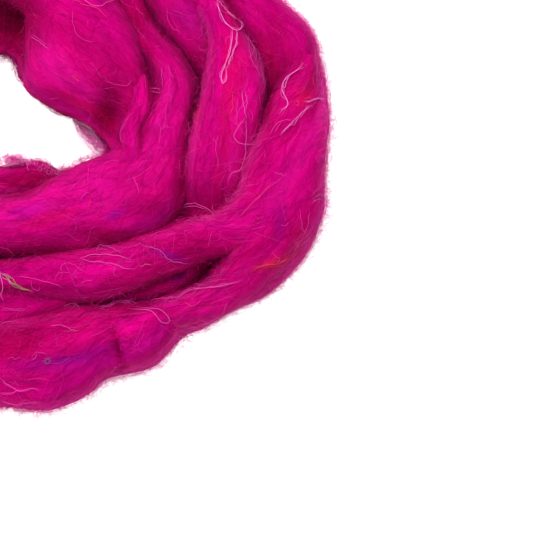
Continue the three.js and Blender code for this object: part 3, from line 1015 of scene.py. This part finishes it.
HAIR = ["name", "each_mm", "stations", "shortest", "longest", "curl", "thinnest", "thickest", "lowest",
        "highest", "rim", "clefts", "pale", "seed"]
HAIR_LAYERS = [
    ["down", 26.0, 5, 1.5, 5, 0.35, 0.06, 0.11, 0.4, 2.2, 0.96, 0, 0.5, 201],
    ["fluff", 18.0, 7, 4, 11, 0.2, 0.07, 0.12, 0.8, 3.2, 0.985, 0, 0.5, 211],
    ["hairs_over_clefts", 15.0, 5, 3, 8, 0.25, 0.08, 0.15, 0.6, 2.0, 0, 0.98, 0.3, 231],
    ["loose_hairs", 1.2, 7, 3, 9, 0.8, 0.06, 0.10, 0.1, 0.8, 0.5, 0, 0.35, 221],
]
for row in HAIR_LAYERS:
    layer = dict(zip(HAIR, row))
    seed = layer["seed"]
    rng = np.random.default_rng(seed + 1)
    count = round(roving["along"][-1] * layer["each_mm"])
    run = laid_fibres(roving, count, (3, 4), (0, 0.1), 0.3, 0, 5, seed)
    out, along, around = [values[:, ROOT] for values in run[1:]]
    flank = on_the_rim(roving, out, along, around)
    looks_out = np.clip(1.2 - 2.5 * np.abs(out[:, 2] - 0.45), 0, 1)
    cleft = looks_out * np.clip((0.8 - openness(roving, along, around)) / 0.25, 0, 1)
    wanted = (1 - layer["rim"] * (1 - flank)) * (1 - layer["clefts"] * (1 - cleft))
    kept = rng.random(len(out)) < wanted
    run, flank, out = [values[kept] for values in run], flank[kept], out[kept]
    points = run[0]
    way = unit(points[:, ROOT + 1] - points[:, ROOT - 1]) * rng.choice([-1, 1], len(out))[:, None]
    away = rng.uniform(layer["lowest"], layer["highest"], len(out))[:, None]
    way = unit(way + out * away + rng.normal(0, 0.4, way.shape))
    lengths = (layer["shortest"], layer["longest"])
    paths = springing(points[:, ROOT], way, lengths, layer["curl"], layer["stations"], seed + 2)
    width = rng.uniform(layer["thinnest"], layer["thickest"], len(paths))
    colour = root_dye_and_painted_light(run, 0.15, layer["pale"], seed + 4)
    # Hairs on the rim are paler, partly as lint and partly as painted light.
    colour = mixed(colour, HAIR_LINT_AND_LIGHT, flank * rng.uniform(0.2, 1.0, len(paths)))
    sky = np.zeros_like(paths) + SKY
    hairs = fibre_piece(layer["name"], [ribbons(paths, sky, width, 0.8, seed + 3, colour)])
    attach(hairs, "root")


# Short curled ends, which lie about on the roving in every direction and give it its felted look.
CURLS = 13000
CURL_LENGTHS = (2, 8)
CURL_WIDTHS = (0.09, 0.16)
CURL_STATIONS = 5

run = laid_fibres(roving, CURLS * 2, (3, 4), (0.3, 1.0), 0.3, 0, 5, 261)
run = [values[:CURLS] for values in run]
out = run[1][:, ROOT]
rng = np.random.default_rng(262)
way = unit(np.cross(out, rng.normal(0, 1, out.shape)))
step = rng.uniform(*CURL_LENGTHS, len(out))[:, None] / (CURL_STATIONS - 1)
bend = rng.normal(0, 0.55, (len(out), 1))
paths = [run[0][:, ROOT]]
for _ in range(CURL_STATIONS - 1):
    paths.append(paths[-1] + way * step)
    turn = bend * step + rng.normal(0, 0.25, bend.shape)
    way = way * np.cos(turn) + np.cross(out, way) * np.sin(turn)
paths = np.stack(paths, 1) + out[:, None] * rng.uniform(0.0, 0.35, (len(out), 1, 1))
paths[..., 2] = np.maximum(paths[..., 2], LOWEST_HAIR)
width = rng.uniform(*CURL_WIDTHS, len(paths))
sky = np.repeat(out[:, None], CURL_STATIONS, 1)
curls = fibre_piece("curled_ends", [ribbons(paths, sky, width, 0.2, 263, root_dye_and_painted_light(run, 0.28, 0.4, 264))])
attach(curls, "root")


# The frizz and the thin veil at the eye. Hairs curl up along its front rim, half of them in one tangle, and
# a web of teased-out filaments hangs across its right corner, so thin that the table shows through it.
RIM = [(-40, 178), (-24, 171), (-10, 165), (6, 162), (14, 162), (23, 164), (34, 166), (46, 170), (56, 174),
       (66, 170), (78, 164), (92, 158), (102, 155)]
RIM_HAIRS = 620
RIM_LENGTHS = (3, 12)
RIM_HEIGHTS = (9, 18)
RIM_STATIONS = 12
RIM_DYES = [(0.85, 0.16, 0.52), (0.74, 0.04, 0.34), (0.45, 0.02, 0.20)]
RIM_DYE_SHARES = [0.45, 0.35, 0.2]
TANGLE_AT = 0.33
TANGLE_SPREAD = 0.07
VEIL_ABOVE = [(71, 118), (82, 115), (95, 120), (104, 133), (112, 151)]
VEIL_BELOW = [(71, 118), (77.2, 130.5), (84, 143), (94.2, 155.5)]
VEIL_FIBRES = 460
VEIL_STATIONS = 8
VEIL_DYES = [(0.62, 0.07, 0.33), (0.85, 0.07, 0.50)]
VEIL_PALER_FROM = 128
VEIL_HEIGHTS = (5, 11)


def line_on_picture(places, per_span):
    """A smooth line through places that are given in the photograph's pixels."""
    return smooth_line(np.stack(on_picture(*np.array(places, float).T), 1), per_span)


def on_line(line, share):
    """The points that lie those shares of the way along a line."""
    return line[(share * (len(line) - 1)).astype(int)]


rng = np.random.default_rng(241)
tangle = rng.normal(TANGLE_AT, TANGLE_SPREAD, RIM_HAIRS)
share = np.where(rng.random(RIM_HAIRS) < 0.5, tangle, rng.random(RIM_HAIRS))
x, y = on_line(line_on_picture(RIM, 20), np.clip(share, 0, 1)).T
start = np.column_stack([x, y + rng.uniform(-1, 2, RIM_HAIRS), rng.uniform(*RIM_HEIGHTS, RIM_HAIRS)])
aside, away = rng.normal(0, 0.8, RIM_HAIRS), rng.uniform(0.4, 1.4, RIM_HAIRS)
way = unit(np.column_stack([aside, away, rng.normal(0, 0.3, RIM_HAIRS)]))
rim_paths = springing(start, way, RIM_LENGTHS, 0.85, RIM_STATIONS, 242)
rim_dye = np.array(RIM_DYES)[rng.choice(3, RIM_HAIRS, p=RIM_DYE_SHARES)]

above, below = line_on_picture(VEIL_ABOVE, 10), line_on_picture(VEIL_BELOW, 10)
ends = []
for end in ("first", "second"):
    share = np.clip(rng.random(VEIL_FIBRES) ** 0.75 * 1.2 - 0.1, 0, 1)
    across = rng.random(VEIL_FIBRES)[:, None]
    ends.append(on_line(above, share) * (1 - across) + on_line(below, share) * across)
t = np.linspace(0, 1, VEIL_STATIONS)[None, :, None]
flat = ends[0][:, None] * (1 - t) + ends[1][:, None] * t
reach = np.linalg.norm(ends[1] - ends[0], axis=1)[:, None, None]
flat = flat + rng.normal(0, 0.10, (VEIL_FIBRES, 1, 2)) * reach * np.sin(math.pi * t)
height = rng.uniform(*VEIL_HEIGHTS, (VEIL_FIBRES, 1, 1)) + 2 * np.sin(math.pi * t)
veil_paths = np.concatenate([flat, height], -1)
low = np.clip((on_picture(0, VEIL_PALER_FROM)[1] - flat[:, 4, 1]) / 6, 0, 1)
veil_dye = mixed(np.ones((VEIL_FIBRES, 3)) * VEIL_DYES[0], VEIL_DYES[1], low)

parts = []
lots = [(rim_paths, rim_dye, 0.08, 0.15, 243), (veil_paths, veil_dye, 0.07, 0.13, 244)]
for paths, dye_and_painted_light, thin, thick, seed in lots:
    width = np.random.default_rng(seed).uniform(thin, thick, len(paths))
    parts.append(ribbons(paths, np.zeros_like(paths) + SKY, width, 0.5, seed, dye_and_painted_light))
frizz = fibre_piece("frizz_and_veil", parts)
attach(frizz, "root")


# Waste threads that were carded in with the silk: paler, orange, red and green ends, which lie on the
# roving in loops. Those that the photograph shows lie where they do there, by their places in its pixels.
THREAD_DYES = {
    "white": (0.98, 0.20, 0.70),
    "pale": (0.92, 0.10, 0.52),
    "pink": (0.84, 0.045, 0.42),
    "orange": (0.84, 0.06, 0.12),
    "red": (0.66, 0.02, 0.05),
    "green": (0.42, 0.34, 0.20),
    "grey": (0.30, 0.07, 0.22),
    "dark": (0.25, 0.0, 0.10),
}
THREADS = [
    ("orange", 0.26, [(73, 3), (80, 2), (83, 5), (91, 7), (99, 10), (104, 15), (109, 19)]),
    ("orange", 0.24, [(16, 32), (20, 27), (23, 21)]),
    ("grey", 0.2, [(56, 173), (60, 166), (66, 160), (70, 158), (73, 160), (80, 158), (92, 157),
                   (105, 155)]),
    ("grey", 0.2, [(50, 162), (53, 167), (57, 174)]),
    ("pink", 0.2, [(38, 157), (43, 158), (46, 163), (50, 170)]),
    ("pink", 0.2, [(64, 169), (70, 163), (78, 160), (90, 159)]),
    ("pink", 0.2, [(2, 156), (8, 151), (13, 150), (16, 154), (15, 159), (10, 160)]),
    ("pink", 0.2, [(14, 158), (20, 153), (26, 156), (31, 158), (38, 158), (44, 162)]),
    ("orange", 0.26, [(72, 76), (76, 79), (80, 82)]),
    ("red", 0.24, [(73, 74), (77, 77), (82, 81)]),
    ("pale", 0.3, [(29, 35), (35, 39), (42, 44), (49, 50)]),
    ("pale", 0.22, [(31, 34), (38, 38), (46, 45)]),
    ("pink", 0.26, [(73, 10), (73, 20), (75, 29), (79, 37), (87, 42), (97, 42)]),
    ("pink", 0.26, [(105, 77), (109, 82), (118, 85), (127, 85), (133, 79)]),
    ("pale", 0.3, [(150, 88), (155, 88), (160, 90)]),
    ("pale", 0.24, [(150, 90), (155, 92), (161, 93)]),
    ("pink", 0.26, [(162, 66), (162, 77), (163, 88)]),
    ("pink", 0.24, [(168, 65), (170, 71), (174, 79)]),
    ("pink", 0.26, [(159, 122), (161, 130), (160, 137), (159, 144)]),
    ("pink", 0.22, [(165, 125), (163, 128), (161, 131)]),
    ("pink", 0.26, [(167, 8), (168, 20), (173, 28), (182, 33)]),
    ("pink", 0.24, [(135, 6), (140, 12), (143, 15)]),
    ("pink", 0.26, [(134, 112), (125, 121), (120, 133), (121, 140), (127, 144)]),
    ("white", 0.42, [(217, -1), (218, 7), (222, 16), (226, 23), (233, 29), (238, 30), (242, 27), (242, 23),
                     (237, 19)]),
    ("white", 0.36, [(237, 19), (232, 15), (226, 10), (222, 5), (219, -1)]),
    ("orange", 0.32, [(215, 2), (220, 10), (229, 14), (238, 20)]),
    ("white", 0.4, [(233, 29), (232, 38), (231, 48), (228, 59), (225, 67), (222, 73), (221, 79), (224, 84),
                    (227, 80), (227, 73), (226, 67)]),
    ("white", 0.4, [(237, 30), (237, 40), (235, 49), (232, 56), (229, 64), (226, 70)]),
    ("pink", 0.3, [(244, 30), (248, 40), (250, 53), (253, 63), (259, 72), (263, 82)]),
    ("white", 0.4, [(304, 63), (299, 69), (290, 75), (285, 80), (282, 86), (283, 94), (287, 102),
                    (287, 107), (281, 112), (279, 116)]),
    ("white", 0.32, [(281, 87), (285, 88), (286, 83), (289, 76)]),
    ("white", 0.44, [(305, 103), (312, 101), (318, 99), (326, 100)]),
    ("white", 0.36, [(312, 107), (305, 111), (298, 118), (289, 126), (283, 132), (280, 136)]),
    ("pink", 0.32, [(293, 121), (282, 122), (275, 127), (271, 134), (270, 137)]),
    ("pink", 0.26, [(281, 124), (278, 128), (275, 133)]),
    ("pale", 0.3, [(246, 118), (238, 129), (234, 136), (238, 143), (245, 145), (256, 145)]),
    ("pale", 0.32, [(246, 117), (246, 130), (246, 145), (246, 153), (244, 161), (240, 171), (232, 173),
                    (229, 179), (228, 185)]),
    ("pink", 0.28, [(238, 99), (237, 113), (237, 125)]),
    ("orange", 0.3, [(233, 94), (233, 104), (232, 115)]),
    ("pale", 0.34, [(242, 90), (243, 102), (245, 113), (247, 119)]),
    ("pale", 0.26, [(245, 92), (247, 103), (246, 112)]),
    ("pink", 0.28, [(212, 135), (216, 143), (216, 151), (218, 161), (218, 171)]),
    ("pink", 0.24, [(219, 136), (217, 141), (217, 146)]),
    ("red", 0.3, [(226, 143), (228, 151), (230, 160)]),
    ("pink", 0.28, [(265, 101), (269, 98), (273, 95)]),
    ("red", 0.34, [(314, 73), (313, 80), (315, 88)]),
    ("orange", 0.3, [(294, 103), (298, 102), (298, 107), (295, 105)]),
    ("orange", 0.26, [(304, 100), (308, 98), (312, 100)]),
    ("pale", 0.34, [(182, 206), (191, 203), (195, 203), (201, 206), (209, 210), (214, 216), (215, 219)]),
    ("pale", 0.3, [(182, 207), (193, 206), (202, 208), (210, 213)]),
    ("pink", 0.28, [(212, 202), (213, 209), (216, 212), (222, 211)]),
    ("orange", 0.3, [(271, 184), (262, 194), (252, 204), (243, 214), (239, 219)]),
    ("pink", 0.3, [(274, 173), (280, 175), (284, 177)]),
    ("pink", 0.28, [(300, 209), (301, 220), (304, 232), (308, 223), (310, 209)]),
    ("pink", 0.26, [(280, 225), (285, 226), (289, 222)]),
    ("pink", 0.28, [(312, 195), (317, 190), (325, 190)]),
    ("grey", 0.34, [(316, 196), (319, 199), (323, 197), (321, 194), (318, 197), (325, 200)]),
    ("pale", 0.4, [(165, 299), (176, 297), (189, 290), (202, 288), (215, 287), (229, 284), (239, 282)]),
    ("orange", 0.4, [(251, 270), (259, 267), (267, 265), (274, 264), (282, 262), (290, 258)]),
    ("red", 0.4, [(262, 268), (270, 267), (280, 266), (288, 262)]),
    ("pink", 0.32, [(272, 252), (276, 257), (280, 259), (277, 264), (284, 268), (296, 269)]),
    ("pale", 0.32, [(143, 246), (154, 248), (162, 252), (168, 259), (175, 262), (188, 264)]),
    ("orange", 0.28, [(185, 302), (191, 305)]),
    ("pink", 0.34, [(0, 247), (7, 249), (11, 252), (15, 258)]),
    ("pale", 0.28, [(98, 253), (97, 248), (101, 245), (108, 246), (115, 249), (122, 254)]),
    ("pink", 0.26, [(97, 250), (102, 249), (109, 250)]),
    ("pale", 0.34, [(80, 258), (91, 255), (106, 254), (119, 256), (131, 260)]),
    ("pale", 0.34, [(80, 258), (88, 261), (102, 262), (115, 264), (122, 267), (134, 270)]),
    ("pink", 0.3, [(125, 260), (117, 264), (115, 269), (115, 275), (119, 277)]),
    ("pink", 0.28, [(63, 275), (62, 267), (66, 263), (73, 264), (80, 268), (87, 274)]),
    ("pink", 0.28, [(56, 280), (58, 274), (64, 272), (72, 273)]),
    ("pink", 0.28, [(81, 284), (86, 281), (94, 280)]),
    ("pale", 0.28, [(141, 267), (148, 264), (152, 266)]),
    ("green", 0.36, [(0, 273), (7, 276), (11, 282), (17, 285), (23, 289), (33, 291)]),
    ("green", 0.3, [(4, 274), (10, 276), (16, 282), (20, 286), (26, 290)]),
    ("green", 0.26, [(1, 275), (8, 280), (15, 287), (24, 290)]),
    ("pink", 0.34, [(16, 276), (28, 277), (38, 279), (45, 281), (55, 284), (64, 288)]),
    ("pink", 0.3, [(32, 280), (33, 288), (39, 290), (40, 286)]),
    ("pink", 0.34, [(0, 308), (14, 309), (28, 309)]),
    ("pink", 0.28, [(0, 310), (12, 310), (25, 311)]),
    ("pale", 0.34, [(63, 308), (66, 305), (72, 303), (77, 305), (80, 308)]),
    ("pale", 0.28, [(73, 309), (75, 305), (77, 303)]),
    ("pink", 0.4, [(96, 307), (106, 307), (114, 303), (123, 301), (131, 301), (137, 304)]),
    ("pink", 0.36, [(100, 308), (108, 306), (116, 302), (126, 302), (134, 305)]),
    ("pale", 0.3, [(98, 306), (107, 305), (115, 301), (124, 300), (132, 303)]),
    ("pale", 0.34, [(128, 308), (142, 309), (151, 311), (158, 317), (162, 323), (168, 323), (170, 319),
                    (164, 312), (158, 309), (147, 308), (136, 307)]),
    ("pink", 0.36, [(153, 299), (165, 298), (177, 296)]),
    ("pale", 0.28, [(49, 326), (59, 325), (68, 327), (73, 330), (80, 330)]),
    ("pink", 0.26, [(64, 331), (70, 331), (76, 331)]),
    ("pink", 0.3, [(8, 359), (12, 357), (17, 359), (21, 356)]),
    ("pink", 0.3, [(32, 358), (36, 353), (41, 352), (48, 354)]),
    ("pink", 0.26, [(38, 353), (36, 357), (33, 360)]),
    ("grey", 0.38, [(45, 358), (49, 359), (51, 362), (47, 363), (46, 360), (52, 358)]),
    ("pink", 0.42, [(0, 377), (6, 383), (11, 386), (17, 390), (24, 390), (33, 388), (41, 390)]),
    ("pink", 0.4, [(0, 393), (9, 394), (17, 391), (23, 390)]),
    ("pink", 0.36, [(0, 400), (7, 403), (17, 405), (28, 403), (43, 402)]),
    ("dark", 0.22, [(64, 403), (64, 408), (67, 409), (67, 404)]),
    ("dark", 0.22, [(119, 371), (124, 375), (122, 379), (117, 378)]),
    ("dark", 0.2, [(126, 370), (131, 376), (128, 380)]),
    ("pink", 0.17, [(288, 12), (291, 5), (297, 3), (300, 8), (297, 13)]),
    ("pink", 0.17, [(316, 50), (321, 40), (328, 35), (334, 38), (334, 46), (329, 50)]),
    ("pink", 0.15, [(322, 44), (332, 49), (336, 57), (339, 67)]),
    ("pink", 0.17, [(325, 146), (331, 154), (331, 163), (326, 170), (329, 174)]),
    ("white", 0.2, [(312, 200), (318, 195), (324, 197), (329, 202), (330, 209)]),
    ("white", 0.18, [(311, 204), (318, 200), (325, 201)]),
    ("pink", 0.17, [(310, 246), (317, 237), (316, 228)]),
    ("dark", 0.2, [(49, 161), (57, 174), (63, 163), (69, 158), (73, 160), (85, 157), (98, 156)]),
]
THREAD_STATIONS = 26
THREAD_SIDES = 5
THREAD_THINNING = 0.72
THREAD_KINK = 0.22
THREAD_OFF = 1.2
MORE_THREADS = 45


def dropped(x, y, off):
    """Heights of a thread over the coil: it lies on what it meets, and spans the narrow hollows."""
    rest = []
    for px, py in zip(x, y):
        found, _, _, _ = mass.ray_cast(Vector((px * MM, py * MM, 100 * MM)), Vector((0, 0, -1)), 200 * MM)
        rest.append(found.z / MM if found is not None else np.nan)
    rest = np.array(rest)
    known = np.flatnonzero(~np.isnan(rest))
    if len(known) == 0:
        return np.full(len(rest), 12.0)
    rest = np.interp(np.arange(len(rest)), known, rest[known])
    for _ in range(30):
        longer = np.concatenate([rest[:1], rest, rest[-1:]])
        rest = np.maximum(rest, (longer[:-2] + longer[2:]) / 2)
    return rest + off


def lay_thread(x, y, thick, kink, dye_and_painted_light):
    """Adds a thread that lies on the coil along a slightly kinked line through places seen from above."""
    thin = thick * THREAD_THINNING
    line = smooth_line(np.stack([x, y], 1), 8)
    run = run_along(line)
    even = np.linspace(0, run[-1], THREAD_STATIONS)
    x, y = np.interp(even, run, line[:, 0]) + kink[0], np.interp(even, run, line[:, 1]) + kink[1]
    paths.append(np.stack([x, y, dropped(x, y, THREAD_OFF + thin / 2)], 1))
    thicks.append(thin)
    colours.append(np.array(dye_and_painted_light))


def spun(points, thick, sides):
    """Round tapered threads along rows of points, as triangles, closed at both ends."""
    count, stations = points.shape[:2]
    way = unit(np.gradient(points, axis=1))
    side = unit(np.cross(way, [0.31, 0.17, 0.93]))
    up = np.cross(side, way)
    t = np.linspace(0, 1, stations)
    taper = np.clip(np.minimum(t, 1 - t) * 6, 0.25, 1)
    half = (thick[:, None] / 2 * taper)[..., None, None]
    turn = (np.arange(sides) / sides * 2 * math.pi)[:, None]
    ring = np.cos(turn) * side[:, :, None] + np.sin(turn) * up[:, :, None]
    corners = points[:, :, None] + half * ring
    k, j = np.meshgrid(np.arange(stations - 1), np.arange(sides), indexing="ij")
    a, b = k * sides + j, k * sides + (j + 1) % sides
    wall = [np.stack([a, b, b + sides], -1), np.stack([a, b + sides, a + sides], -1)]
    fan = np.arange(1, sides - 1)
    last = (stations - 1) * sides
    start = np.stack([np.zeros_like(fan), fan + 1, fan], -1)
    end = np.stack([np.full_like(fan, last), last + fan, last + fan + 1], -1)
    triangles = np.concatenate([np.concatenate(wall).reshape(-1, 3), start, end])
    faces = triangles[None] + (np.arange(count) * stations * sides)[:, None, None]
    return corners.reshape(-1, 3), faces.reshape(-1, 3)


# A thick thread has two finer ones beside it, which stray further from its line and are smoother.
rng = np.random.default_rng(301)
paths, thicks, colours = [], [], []
for dye_name, thick, places in THREADS:
    x, y = on_picture(*np.array(places, float).T)
    plies = [(thick, 1, 1)]
    if thick > 0.35:
        plies += [(0.2, 5, 4), (0.16, 5, 4)]
    for ply_thick, kinks, rounds in plies:
        kink = rng.normal(0, THREAD_KINK * kinks, (2, THREAD_STATIONS))
        for _ in range(rounds):
            kink = (np.roll(kink, 1, 1) + 2 * kink + np.roll(kink, -1, 1)) / 4
        lay_thread(x, y, ply_thick, kink, np.array(THREAD_DYES[dye_name]) * rng.uniform(0.85, 1.1))

# The rest of the coil, which the photograph does not show, has such threads here and there too.
at = rng.uniform(0, roving["along"][-1], 500)
starts = np.stack([np.interp(at, roving["along"], roving[axis]) for axis in "xy"], 1)
starts = starts + rng.normal(0, 5, starts.shape)
for start in starts[(starts[:, 0] < -14) | (starts[:, 1] > 58)][:MORE_THREADS]:
    heading = rng.uniform(0, 2 * math.pi) + np.cumsum(rng.normal(0, 0.4, 9))
    steps = np.stack([np.cos(heading), np.sin(heading)], 1) * rng.uniform(1, 3.5)
    x, y = (start + np.cumsum(steps, axis=0)).T
    thick = rng.uniform(0.24, 0.38)
    dye_name = rng.choice(["white", "pale", "pink", "orange", "red"])
    lay_thread(x, y, thick, np.zeros(2), THREAD_DYES[dye_name])
corners, faces = spun(np.array(paths), np.array(thicks), THREAD_SIDES)
dye_and_painted_light = np.repeat(np.array(colours), THREAD_STATIONS * THREAD_SIDES, 0)
threads = mesh_piece("waste_threads", corners, faces, dye_and_painted_light, silk_fibre)
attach(threads, "root")
